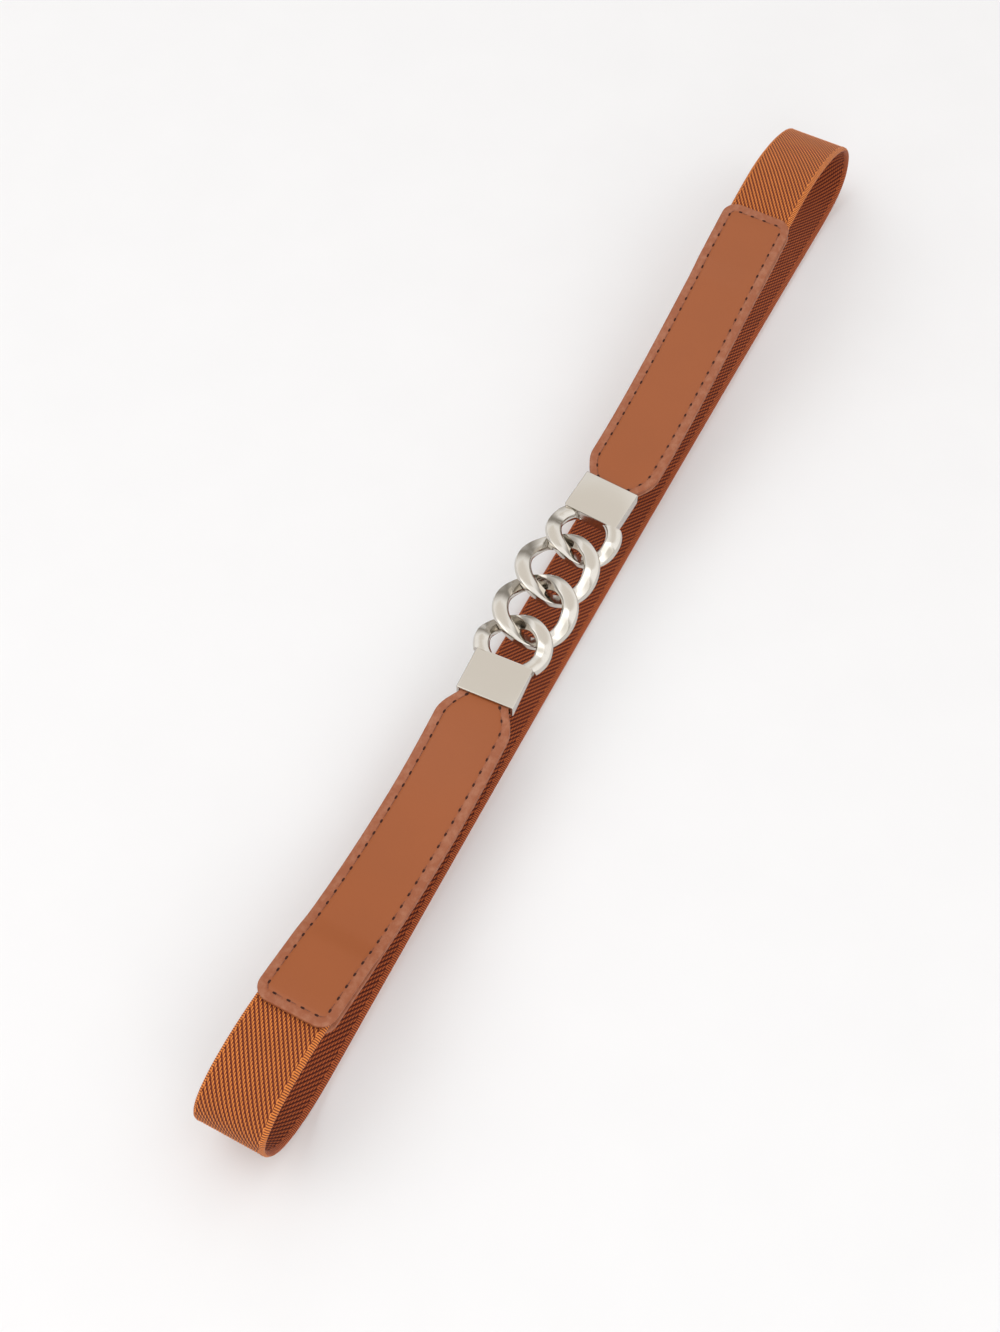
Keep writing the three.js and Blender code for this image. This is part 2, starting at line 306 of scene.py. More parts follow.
def bent_piece(start, end, steps=240):
    """Points of the curve between two knots."""
    a = np.array(start[:2])
    b = np.array(end[:2])
    chord = np.linalg.norm(b - a)
    leave_turn, arrive_turn = math.radians(start[2]), math.radians(end[2])
    leave = a + start[4] * chord * np.array([math.cos(leave_turn), math.sin(leave_turn)])
    arrive = b - end[3] * chord * np.array([math.cos(arrive_turn), math.sin(arrive_turn)])
    t = np.linspace(0, 1, steps)[:, None]
    return (1 - t) ** 3 * a + 3 * (1 - t) ** 2 * t * leave + 3 * (1 - t) * t**2 * arrive + t**3 * b


class BeltLine:
    """The middle line of the belt, and points beside it."""

    def __init__(self, scene):
        metal, elastic, belt = scene.belt_metal, scene.belt_elastic, scene.belt_sizes
        self.right_reach = belt.right_reach
        self.chain_height = belt.chain_height
        self.floor_line = elastic.thickness / 2
        self.link_pitch = metal.link_length - 2 * metal.wire_end_width - metal.link_slack
        tip = (self.link_pitch + metal.link_length) / 2 - 2 * metal.wire_end_width
        chain_half = tip - metal.half_link_slack + metal.half_link_reach
        self.flat_half = chain_half + metal.cap_length
        middle = (0, self.chain_height, 0, 0.33, 0.33)
        stops = [middle, *belt_knots(belt, self.flat_half, self.floor_line), middle]
        pieces = [bent_piece(a, b) for a, b in zip(stops, stops[1:])]
        line = np.concatenate([piece[:-1] for piece in pieces] + [pieces[-1][-1:]])
        steps = np.linalg.norm(np.diff(line, axis=0), axis=1)
        self.marks = np.concatenate([[0], np.cumsum(steps)])
        self.length = self.marks[-1]
        self.line = line
        ways = np.gradient(line, self.marks, axis=0)
        self.ways = ways / np.linalg.norm(ways, axis=1)[:, None]
        self.shift = frame_shift(belt, elastic)

    def sway(self, x, z):
        """How far the belt lies to one side, seen from above."""
        top = TOP_ASIDE + CHAIN_ASIDE * np.exp(-((x / CHAIN_SPAN) ** 2))
        floor = FLOOR_ASIDE - FLOOR_BEND * (x / self.right_reach) ** 2
        rise = np.clip((z - self.floor_line) / (self.chain_height - self.floor_line), 0, 1)
        return floor + (top - floor) * smooth_step(rise)

    def sway_turn(self, x, z):
        """Turn of the belt there, seen from above."""
        reach = 0.5 * MM
        return np.arctan2(self.sway(x + reach, z) - self.sway(x - reach, z), 2 * reach)

    def place(self, along, across, lift):
        """Points in the part's frame, by distance along the line, across it and off it."""
        along, across, lift = np.broadcast_arrays(along, across, lift)
        rest = np.mod(along, self.length)
        x, z = (np.interp(rest, self.marks, self.line[:, i]) for i in range(2))
        way_x, way_z = (np.interp(rest, self.marks, self.ways[:, i]) for i in range(2))
        turn = self.sway_turn(x, z)
        px = x - way_z * lift - across * np.sin(turn)
        py = self.sway(x, z) + across * np.cos(turn)
        return np.stack([px, py, z + way_x * lift], axis=-1) + self.shift


def frame_shift(belt, elastic):
    """From the chain's middle to the part's origin, read off the frame."""
    low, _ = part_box("elastic_band")
    link_low, link_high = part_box("chain_link_right")
    x = low.x + belt.left_reach + elastic.thickness / 2
    y = (link_low.y + link_high.y) / 2 - LINK_PLAY["right"]["aside"]
    return np.array([x, y, 0])


# Meshes, nodes and colours

# Points nearer than this are one point
MERGE = 1e-7


def smooth_step(share):
    """A share from 0 to 1, with a gentle start and end."""
    return share * share * (3 - 2 * share)


def add_object(name, data):
    """A new object in the scene that holds a mesh, lamp or camera."""
    made = bpy.data.objects.new(name, data)
    bpy.context.scene.collection.objects.link(made)
    return made


def linear(hex_colour):
    """sRGB hex to the linear colour that the shaders take."""
    parts = [int(hex_colour[i:i + 2], 16) / 255 for i in (0, 2, 4)]
    line = [p / 12.92 if p <= 0.04045 else ((p + 0.055) / 1.055) ** 2.4 for p in parts]
    return (*line, 1.0)


def darker(hex_colour, share):
    """The hex colour with each part times share."""
    return "".join(f"{int(int(hex_colour[i:i + 2], 16) * share):02X}" for i in (0, 2, 4))


def grid_faces(rows, columns, is_ring=False):
    """Four-sided faces between the closed sections of a tube, or of a ring."""
    r, c = np.meshgrid(
        np.arange(rows if is_ring else rows - 1), np.arange(columns), indexing="ij")
    next_r, next_c = (r + 1) % rows, (c + 1) % columns
    here, there = r * columns, next_r * columns
    corners = [here + c, here + next_c, there + next_c, there + c]
    return np.stack(corners, axis=-1).reshape(-1, 4)


def new_piece(name, points, faces, material, uv=None, values=None):
    """A mesh object at the origin. uv and values have one entry for each point."""
    mesh = bpy.data.meshes.new(name)
    mesh.from_pydata(points.reshape(-1, 3).tolist(), [], [list(map(int, f)) for f in faces])
    corner_points = np.zeros(len(mesh.loops), int)
    mesh.loops.foreach_get("vertex_index", corner_points)
    if uv is not None:
        layer = mesh.uv_layers.new(name="UVMap")
        layer.data.foreach_set("uv", uv.reshape(-1, 2)[corner_points].astype(np.float32).ravel())
    for key, numbers in (values or {}).items():
        attribute = mesh.attributes.new(key, "FLOAT", "POINT")
        attribute.data.foreach_set("value", numbers.astype(np.float32).ravel())
    mesh.materials.append(material)
    return add_object(name, mesh)


def close_up(piece):
    """Merges doubled points, turns the faces outwards and shades them smooth."""
    work = bmesh.new()
    work.from_mesh(piece.data)
    bmesh.ops.remove_doubles(work, verts=work.verts, dist=MERGE)
    bmesh.ops.dissolve_degenerate(work, dist=MERGE, edges=work.edges)
    bmesh.ops.recalc_face_normals(work, faces=work.faces)
    for face in work.faces:
        face.smooth = True
    work.to_mesh(piece.data)
    work.free()
    piece.data.update()


def skin_tube(points):
    """Faces of a tube of sections, with a face at each end."""
    rows, columns = points.shape[:2]
    faces = [list(f) for f in grid_faces(rows, columns)]
    faces.append(list(range(columns)))
    faces.append(list(range(rows * columns - 1, (rows - 1) * columns - 1, -1)))
    return faces


def add_node(tree, kind, settings=None, inputs=None):
    """Adds a node, sets its properties, and fills or links its inputs."""
    node = tree.nodes.new(kind)
    for name, value in (settings or {}).items():
        setattr(node, name, value)
    for name, value in (inputs or {}).items():
        if isinstance(value, bpy.types.NodeSocket):
            tree.links.new(value, node.inputs[name])
        else:
            node.inputs[name].default_value = value
    return node


def new_material(name, **inputs):
    """A material with a Principled shader whose plain inputs are set."""
    material = bpy.data.materials.new(name)
    material.use_nodes = True
    shader = material.node_tree.nodes["Principled BSDF"]
    for key, value in inputs.items():
        shader.inputs[key.replace("_", " ").title().replace("Ior", "IOR")].default_value = value
    return material, material.node_tree, shader


def band_scale(pitch):
    """Scale at which a wave texture's bands have a real pitch."""
    bands_at_scale_one = 20 / (2 * math.pi)
    return 1 / (pitch * bands_at_scale_one)


# Woven elastic

# The selvedge's ribs, and the filaments of a yarn, drawn coarser than real ones so that they show
RIB_PITCH = 0.62 * MM
FILAMENT_PITCH = 0.2 * MM

# Patches of slightly darker yarn
TINT_SIZE = 7.143 * MM

# Heights across one twill row from gap to gap, as shares of the relief, what is left of them on
# the low half of each knuckle, and how far the high half steps along the belt
ROW_PROFILE = np.array([0.0, 0.8, 1.0, 0.8])
LOW_HALF = 0.25
KNUCKLE_STEP = 0.2 * MM

# Height of the selvedge and of its hidden edge on the same scale, which sets how much painted gap
# shade their colour takes
SELVEDGE_HEIGHT = 0.85
HIDDEN_EDGE_HEIGHT = 0.6

# Places in the selvedge at which it is cut, as shares of its width in from the rim
SELVEDGE_CUTS = np.array([0.04, 0.35, 0.8])

# How far each half of the webbing stays off the middle line, and at how many places its hidden
# side is cut, enough that it doesn't come through the woven side in the bends
MIDDLE_GAP = 0.01 * MM
HIDDEN_CUTS = 6


def woven_elastic_material(elastic, name, crest_colour, gap_shade_colour):
    """Rubber webbing in polyester yarn, twill woven: matt raised knuckles, with painted shade in the
    gaps.
    """
    material, tree, shader = new_material(
        name, roughness=0.85, sheen_weight=0.08, sheen_roughness=0.5)
    relief = add_node(tree, "ShaderNodeAttribute", {"attribute_name": "relief"}).outputs["Fac"]
    selvedge = add_node(tree, "ShaderNodeAttribute", {"attribute_name": "selvedge"}).outputs["Fac"]
    laid_flat = add_node(tree, "ShaderNodeUVMap", {"uv_map": "UVMap"}).outputs["UV"]
    where = add_node(tree, "ShaderNodeTexCoord").outputs["Object"]
    tint = add_node(
        tree, "ShaderNodeTexNoise", None,
        {"Vector": where, "Scale": 1 / TINT_SIZE, "Detail": 2.0}).outputs["Fac"]
    crest = add_node(
        tree, "ShaderNodeMix", {"data_type": "RGBA"},
        {0: tint, 6: linear(crest_colour), 7: linear(darker(crest_colour, 0.88))}).outputs[2]
    rib = add_node(
        tree, "ShaderNodeTexWave", {"wave_type": "BANDS", "bands_direction": "X"},
        {"Vector": laid_flat, "Scale": band_scale(RIB_PITCH)}).outputs["Fac"]
    rib_height = add_node(
        tree, "ShaderNodeMapRange", None,
        {"Value": rib, "To Min": 0.15, "To Max": 1.0}).outputs["Result"]
    height = add_node(
        tree, "ShaderNodeMix", {"data_type": "FLOAT"},
        {0: selvedge, 2: relief, 3: rib_height}).outputs[0]
    # The gaps, the low knuckles and the troughs of the selvedge's ribs take the gap colour: painted
    # shade in the hollows of the weave
    crest_share = add_node(
        tree, "ShaderNodeMapRange", {"interpolation_type": "SMOOTHSTEP"},
        {"Value": height, "From Min": 0.15, "From Max": 0.8}).outputs["Result"]
    colour = add_node(
        tree, "ShaderNodeMix", {"data_type": "RGBA"},
        {0: crest_share, 6: linear(gap_shade_colour), 7: crest}).outputs[2]
    tree.links.new(colour, shader.inputs["Base Color"])
    along_yarn = add_node(
        tree, "ShaderNodeMapping", {"vector_type": "POINT"},
        {"Vector": laid_flat, "Rotation": (0.0, 0.0, -elastic.row_angle)}).outputs["Vector"]
    filament = add_node(
        tree, "ShaderNodeTexWave", {"wave_type": "BANDS", "bands_direction": "Y"},
        {"Vector": along_yarn, "Scale": band_scale(FILAMENT_PITCH)}).outputs["Fac"]
    filaments = add_node(
        tree, "ShaderNodeBump", None,
        {"Height": filament, "Strength": 0.35, "Distance": 0.04 * MM}).outputs["Normal"]
    ribs = add_node(
        tree, "ShaderNodeBump", None,
        {"Height": height, "Strength": selvedge, "Distance": 0.1 * MM,
         "Normal": filaments}).outputs["Normal"]
    tree.links.new(ribs, shader.inputs["Normal"])
    return material


def weave_levels(elastic):
    """Places across the webbing from rim to rim, and where its body starts and ends."""
    half = elastic.width / 2
    low, high = elastic.selvedge - half, half - elastic.far_selvedge
    step = elastic.knuckle * math.sin(elastic.row_angle) / 2
    body = np.linspace(low, high, 2 * round((high - low) / 2 / step) + 1)
    near = SELVEDGE_CUTS * elastic.selvedge - half
    far = half - SELVEDGE_CUTS[::-1] * elastic.far_selvedge
    return np.concatenate([near, body, far]), low, high


def knuckles(row, levels, low, high):
    """Where the woven body is, and how high and how far along the belt each point of it lies."""
    is_high = (row // len(ROW_PROFILE) + np.arange(len(levels))) % 2 == 1
    inside = np.broadcast_to((levels >= low) & (levels <= high), is_high.shape)
    height = ROW_PROFILE[row % len(ROW_PROFILE)] * np.where(is_high, 1.0, LOW_HALF)
    step = np.where(is_high, KNUCKLE_STEP, -KNUCKLE_STEP)
    return inside, np.where(inside, height, SELVEDGE_HEIGHT), np.where(inside, step, 0)


def selvedge_rounding(elastic, levels, low, high):
    """Share of the webbing's thickness at each level, rounded off over its selvedges."""
    past_near = (low - levels) / elastic.selvedge
    past_far = (levels - high) / elastic.far_selvedge
    return np.sqrt(1 - np.clip(np.maximum(past_near, past_far), 0, 1) ** 3)


def weave_face(scene, line, face, material, name):
    """Half the thickness of the webbing, woven on its outer side (face 1) or inner side (-1).

    The mesh's rows run along the twill, so that each one stays a clean rope of knuckles.
    """
    elastic, leather = scene.belt_elastic, scene.belt_leather
    levels, low, high = weave_levels(elastic)
    half = elastic.width / 2
    hidden = np.linspace(half, -half, HIDDEN_CUTS)
    across = np.concatenate([levels, hidden])
    slope = math.tan(elastic.row_angle)
    lean = half / slope
    spacing = elastic.row_pitch / slope / len(ROW_PROFILE)
    start = line.flat_half + leather.length - elastic.tuck
    end = line.length - start
    row = np.arange(int((end - start + 2 * lean) / spacing) + 1)[:, None]
    along = start - lean + row * spacing + np.clip(across, low, high) / slope
    inside, height, step = knuckles(row, levels, low, high)
    along[:, :len(levels)] += step
    along = np.clip(along, start, end)
    rounding = selvedge_rounding(elastic, levels, low, high)
    lift = elastic.thickness / 2 * rounding - elastic.relief * (1 - height) * inside
    at_middle = np.full((len(row), len(hidden)), MIDDLE_GAP)
    at_rim = np.tile(np.abs(hidden) == half, (len(row), 1))
    # The relief attribute also sets how much painted gap shade the material gives each point
    piece = new_piece(
        name, line.place(along, across, face * np.concatenate([lift, at_middle], axis=1)),
        skin_tube(along), material,
        np.stack(np.broadcast_arrays(along, across), axis=-1),
        {"relief": np.concatenate([height, HIDDEN_EDGE_HEIGHT * at_rim], axis=1),
         "selvedge": np.concatenate([~inside, at_rim], axis=1)})
    close_up(piece)
    return piece


class BELT_OT_elastic(bpy.types.Operator):
    """Weaves the elastic band, outer and inner half"""

    bl_idname = "belt.elastic"
    bl_label = "Weave elastic"

    def execute(self, context):
        scene = context.scene
        line = BeltLine(scene)
        elastic = scene.belt_elastic
        # The inner half's darker colours are painted shade
        halves = (
            ("elastic_outer", 1, elastic.crest_colour, elastic.gap_shade_colour),
            ("elastic_inner", -1, elastic.inner_crest_shade_colour, elastic.inner_gap_shade_colour),
        )
        for name, face, crest_colour, gap_shade_colour in halves:
            material = woven_elastic_material(elastic, f"woven_{name}", crest_colour, gap_shade_colour)
            piece = weave_face(scene, line, face, material, name)
            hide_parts("elastic_band")
            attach(piece, "root")
        return {"FINISHED"}


# Leather tabs

# Pebbles of the leather's pressed grain, its cloudy tint, and the rubbed patches of its border
GRAIN_PITCH = 0.55 * MM
CLOUD_SIZE = 16.667 * MM
RUB_SIZE = 2.381 * MM

# A ply's face: half the width of the groove that the stitches pull, how far in from them the ply
# swells, how much lower its rim lies, and how soon past the cap all this has come up
GROOVE_REACH = 0.42 * MM
SWELL_REACH = 4 * MM
RIM_DROP = 0.12 * MM
CAP_FADE = 2 * MM

# How far inside the stitches the border's colour starts, and over what width it comes up
BORDER_START = 0.2 * MM
BORDER_FADE = 0.5 * MM

# Distance between cuts along a ply, and how far before its corners this even run stops
PLY_STEP = 0.9 * MM
CORNER_ROOM = 1 * MM

# Distances in from the rim at which a ply is cut, close together at its edge and at its groove
PLY_INSETS = MM * np.array(
    [0, 0.05, 0.14, 0.35, 0.8, 1.4, 1.9, 2.2, 2.4, 2.6, 2.8, 3.0, 3.3, 3.8, 4.6])


def leather_material(leather):
    """Split leather with a pressed polyurethane face: soft gloss, fine grain, paler rubbed rim."""
    material, tree, shader = new_material(
        "coated_split_leather", roughness=0.48, specular_ior_level=0.45)
    where = add_node(tree, "ShaderNodeTexCoord").outputs["Object"]
    border = add_node(tree, "ShaderNodeAttribute", {"attribute_name": "border"}).outputs["Fac"]
    cloud = add_node(
        tree, "ShaderNodeTexNoise", None,
        {"Vector": where, "Scale": 1 / CLOUD_SIZE, "Detail": 3.0, "Roughness": 0.5}).outputs["Fac"]
    body = add_node(
        tree, "ShaderNodeMix", {"data_type": "RGBA"},
        {0: cloud, 6: linear(darker(leather.colour, 0.96)), 7: linear(leather.colour)}).outputs[2]
    rubbed = add_node(
        tree, "ShaderNodeTexNoise", None,
        {"Vector": where, "Scale": 1 / RUB_SIZE, "Detail": 4.0, "Roughness": 0.65}).outputs["Fac"]
    rubbed_share = add_node(
        tree, "ShaderNodeMapRange", None,
        {"Value": rubbed, "From Min": 0.42, "From Max": 0.66}).outputs["Result"]
    rim = add_node(
        tree, "ShaderNodeMix", {"data_type": "RGBA"},
        {0: rubbed_share, 6: linear(leather.border_colour),
         7: linear(leather.rubbed_colour)}).outputs[2]
    colour = add_node(
        tree, "ShaderNodeMix", {"data_type": "RGBA"}, {0: border, 6: body, 7: rim}).outputs[2]
    tree.links.new(colour, shader.inputs["Base Color"])
    grain = add_node(
        tree, "ShaderNodeTexVoronoi", {"feature": "SMOOTH_F1"},
        {"Vector": where, "Scale": 1 / GRAIN_PITCH, "Smoothness": 0.6}).outputs["Distance"]
    fine = add_node(
        tree, "ShaderNodeBump", {"invert": True},
        {"Height": grain, "Strength": 0.22, "Distance": 0.03 * MM}).outputs["Normal"]
    wrinkles = add_node(
        tree, "ShaderNodeBump", None,
        {"Height": rubbed, "Strength": 0.25, "Distance": 0.15 * MM,
         "Normal": fine}).outputs["Normal"]
    tree.links.new(wrinkles, shader.inputs["Normal"])
    return material


def tab_half_width(distance, scene):
    """Half the tab's width at distances from the cap's mouth."""
    leather, metal, gap = scene.belt_leather, scene.belt_metal, scene.belt_sizes.clearance
    wide = leather.width / 2
    narrow = metal.cap_width / 2 - metal.cap_side_wall - gap
    share = np.clip((distance - gap) / (leather.taper - gap), 0, 1)
    half = narrow + (wide - narrow) * np.sin(share * math.pi / 2)
    inset = np.clip(leather.corner - (leather.length - distance), 0, leather.corner)
    return half - leather.corner + np.sqrt(leather.corner**2 - inset**2)


def ply_stand_off(distance, scene):
    """How far a ply stands off the middle line: nearly closed, and spread over the elastic."""
    leather, elastic, gap = scene.belt_leather, scene.belt_elastic, scene.belt_sizes.clearance
    start = leather.length - elastic.tuck - gap - leather.blend
    share = smooth_step(np.clip((distance - start) / leather.blend, 0, 1))
    return gap / 2 + (elastic.thickness / 2 + gap / 2) * share


def distance_to_rim(distance, across, scene):
    """How far a point of the tab lies inside its outline."""
    leather = scene.belt_leather
    end = leather.length - distance
    before_corner = np.minimum(distance, leather.length - leather.corner)
    side = tab_half_width(before_corner, scene) - np.abs(across)
    to_end = np.clip(leather.corner - end, 0, None)
    to_side = np.clip(leather.corner - side, 0, None)
    in_corner = leather.corner - np.hypot(to_end, to_side)
    return np.where((to_end > 0) & (to_side > 0), in_corner, np.minimum(end, side))


def ply_surface(distance, across, scene):
    """Inner and outer lift of a ply: rounded at its rim, sunk at the stitches, swollen between."""
    leather = scene.belt_leather
    rim = np.clip(distance_to_rim(distance, across, scene), 0, None)
    thin_share = np.clip(1 - rim / leather.edge_round, 0, 1)
    thin = leather.edge_round * (1 - np.sqrt(1 - thin_share**2))
    low = ply_stand_off(distance, scene)
    high = low + leather.thickness
    past_stitches = rim - leather.stitch_inset
    groove = leather.groove * np.exp(-((past_stitches / GROOVE_REACH) ** 2))
    fade = np.clip(distance / CAP_FADE, 0, 1)
    swell = np.clip(past_stitches / SWELL_REACH, 0, 1)
    crown = leather.crown * swell * (2 - swell) * fade
    drop = RIM_DROP * np.clip(1 - rim / leather.stitch_inset, 0, 1) ** 2
    return low + thin, high - thin - (groove + drop) * fade + crown


def ply_stations(scene):
    """Distances from the cap's mouth at which a ply is cut, from its tongue to its outer end."""
    leather, metal, gap = scene.belt_leather, scene.belt_metal, scene.belt_sizes.clearance
    tongue = metal.cap_length - metal.cap_end_wall - gap
    body = np.arange(0, leather.length - leather.corner - CORNER_ROOM, PLY_STEP)
    near_end = leather.length - leather.corner * (1 - np.linspace(0, 1, 16))
    tip = leather.length - leather.edge_round * np.array([0.7, 0.4, 0.15, 0.04, 0])
    near_end = near_end[near_end < tip[0]]
    return np.concatenate([[-tongue, -tongue / 2], body, near_end, tip])


def cut_ply(scene, line, side, face, material, name):
    """One leather ply. side is -1 for the left tab and 1 for the right one."""
    leather = scene.belt_leather
    stations = ply_stations(scene)[:, None]
    half = tab_half_width(stations, scene)
    edge = half - PLY_INSETS
    inner = (half - PLY_INSETS[-1]) * np.array([0.75, 0.5, 0.25])
    one_side = np.concatenate([edge, inner, 0 * half], axis=1)
    top = np.concatenate([one_side, -one_side[:, -2::-1]], axis=1)
    back = (half - leather.edge_round) * np.array([-1.0, -0.5, 0.0, 0.5, 1.0])
    across = np.concatenate([top, back], axis=1)
    distance = stations + 0 * across
    low, high = ply_surface(distance, across, scene)
    is_back = np.arange(across.shape[1]) >= top.shape[1]
    lift = face * np.where(is_back, low, high)
    points = line.place(side * (line.flat_half + distance), across, lift)
    past_stitches = distance_to_rim(distance, across, scene) - leather.stitch_inset
    border = np.clip((BORDER_START - past_stitches) / BORDER_FADE, 0, 1)
    piece = new_piece(name, points, skin_tube(points), material, None, {"border": border})
    close_up(piece)
    return piece


class BELT_OT_leather(bpy.types.Operator):
    """Cuts the front and back plies of both leather tabs"""

    bl_idname = "belt.leather"
    bl_label = "Cut leather tabs"

    def execute(self, context):
        scene = context.scene
        line = BeltLine(scene)
        material = leather_material(scene.belt_leather)
        for word, side in SIDES.items():
            for way, face in FACES.items():
                piece = cut_ply(scene, line, side, face, material, f"leather_{way}_{word}")
                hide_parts(f"tab_{way}_{word}")
                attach(piece, "root")
        return {"FINISHED"}


# Stitches

# A length along a stitch line that is longer than any, so that trimming it there leaves its end
PAST_THE_END = 10.0

# How far past the cap the first needle hole lies
FIRST_HOLE = 0.6 * MM

# Twist of the thread, whose darker bands are painted shade between its plies, and mottling in the
# painted shade of a needle hole
TWIST_PITCH = 0.349 * MM
MOTTLE_SIZE = 0.4 * MM


def thread_material(leather):
    """Bonded nylon sewing thread, close to the leather's colour: a dull gleam along each stitch."""
    material, tree, shader = new_material("bonded_nylon_thread", roughness=0.55, sheen_weight=0.2)
    where = add_node(tree, "ShaderNodeTexCoord").outputs["Object"]
    twist = add_node(
        tree, "ShaderNodeTexWave", {"wave_type": "BANDS", "bands_direction": "DIAGONAL"},
        {"Vector": where, "Scale": band_scale(TWIST_PITCH), "Distortion": 0.5}).outputs["Fac"]
    # Darker bands along the twist: painted shade in the grooves between the thread's plies
    colour = add_node(
        tree, "ShaderNodeMix", {"data_type": "RGBA"},
        {0: twist, 6: linear(darker(leather.thread_colour, 0.8)),
         7: linear(leather.thread_colour)}).outputs[2]
    tree.links.new(colour, shader.inputs["Base Color"])
    return material


def hole_shade_material(leather):
    """Inside of a needle hole: painted shade over raw leather, dark and matt."""
    material, tree, shader = new_material("needle_hole_shade", roughness=0.9)
    where = add_node(tree, "ShaderNodeTexCoord").outputs["Object"]
    mottle = add_node(
        tree, "ShaderNodeTexNoise", None,
        {"Vector": where, "Scale": 1 / MOTTLE_SIZE}).outputs["Fac"]
    colour = add_node(
        tree, "ShaderNodeMix", {"data_type": "RGBA"},
        {0: mottle, 6: linear(leather.hole_shade_colour),
         7: linear(darker(leather.hole_shade_colour, 1.5))}).outputs[2]
    tree.links.new(colour, shader.inputs["Base Color"])
    return material


def stitch_path(scene):
    """Distances along and places across of the stitch line, from the cap round to the cap."""
    leather = scene.belt_leather
    inset = leather.stitch_inset
    body_end = leather.length - leather.corner
    run = np.linspace(FIRST_HOLE, body_end, 120)
    side = tab_half_width(run, scene) - inset
    turns = np.linspace(0, math.pi / 2, 9)[1:]
    small = leather.corner - inset
    corner_distance = body_end + small * np.sin(turns)
    corner_across = leather.width / 2 - leather.corner + small * np.cos(turns)
    distance = np.concatenate([run, corner_distance])
    across = np.concatenate([side, corner_across])
    return np.concatenate([distance, distance[::-1]]), np.concatenate([across, -across[::-1]])


def stitch_path_piece(scene, line, side, face, name):
    """The stitch line on a ply as a mesh of edges that knows which way is off the leather."""
    distance, across = stitch_path(scene)
    _, high = ply_surface(distance, across, scene)
    along = side * (line.flat_half + distance)
    points = line.place(along, across, face * high)
    above = line.place(along, across, face * (high + 1 * MM))
    mesh = bpy.data.meshes.new(name)
    edges = [(i, i + 1) for i in range(len(points) - 1)]
    mesh.from_pydata(points.tolist(), edges, [])
    up = mesh.attributes.new("off_leather", "FLOAT_VECTOR", "POINT")
    up.data.foreach_set("vector", ((above - points) / MM).astype(np.float32).ravel())
    return add_object(name, mesh)


def stitch_sizes(leather):
    """Named inputs of the stitch row's nodes."""
    return {
        "Pitch": leather.stitch_pitch,
        "Thread": leather.thread,
        "Dip": leather.stitch_dip,
        "Hole length": leather.hole_length,
        "Hole width": leather.hole_width,
        "Hole height": leather.hole_height,
    }


def stitch_tree(sizes, thread, hole):
    """Nodes that lay stitches and needle holes along a path."""
    tree = bpy.data.node_groups.new("stitch_row", "GeometryNodeTree")
    face = tree.interface
    face.new_socket(name="Path", in_out="INPUT", socket_type="NodeSocketGeometry")
    for name, size in sizes.items():
        socket = face.new_socket(name=name, in_out="INPUT", socket_type="NodeSocketFloat")
        socket.default_value = size
    face.new_socket(name="Stitches", in_out="OUTPUT", socket_type="NodeSocketGeometry")
    given = add_node(tree, "NodeGroupInput").outputs
    path = add_node(tree, "GeometryNodeMeshToCurve", None, {"Mesh": given["Path"]}).outputs["Curve"]
    half = add_node(
        tree, "ShaderNodeMath", {"operation": "MULTIPLY"}, {0: given["Pitch"], 1: 0.5}).outputs[0]
    late = add_node(
        tree, "GeometryNodeTrimCurve", {"mode": "LENGTH"},
        {"Curve": path, 4: half, 5: PAST_THE_END}).outputs["Curve"]
    stitches = laid_along(tree, late, given["Pitch"], thread_stitch(tree, given, thread))
    holes = laid_along(tree, path, given["Pitch"], needle_hole_shade(tree, given, hole))
    joined = add_node(tree, "GeometryNodeJoinGeometry")
    for row in (stitches, holes):
        tree.links.new(row, joined.inputs[0])
    real = add_node(tree, "GeometryNodeRealizeInstances", None, {"Geometry": joined.outputs[0]})
    add_node(tree, "NodeGroupOutput", None, {"Stitches": real.outputs[0]})
    return tree


def laid_along(tree, curve, pitch, instance):
    """Copies of a shape along a curve, with x along it and z off the leather."""
    points = add_node(
        tree, "GeometryNodeCurveToPoints", {"mode": "LENGTH"}, {"Curve": curve, "Length": pitch})
    up = add_node(
        tree, "GeometryNodeInputNamedAttribute", {"data_type": "FLOAT_VECTOR"},
        {"Name": "off_leather"}).outputs["Attribute"]
    lean = add_node(
        tree, "FunctionNodeAlignRotationToVector", {"axis": "X"},
        {"Vector": points.outputs["Tangent"]}).outputs["Rotation"]
    turn = add_node(
        tree, "FunctionNodeAlignRotationToVector", {"axis": "Z", "pivot_axis": "X"},
        {"Rotation": lean, "Vector": up}).outputs["Rotation"]
    return add_node(
        tree, "GeometryNodeInstanceOnPoints", None,
        {"Points": points.outputs["Points"], "Instance": instance, "Rotation": turn}
    ).outputs["Instances"]


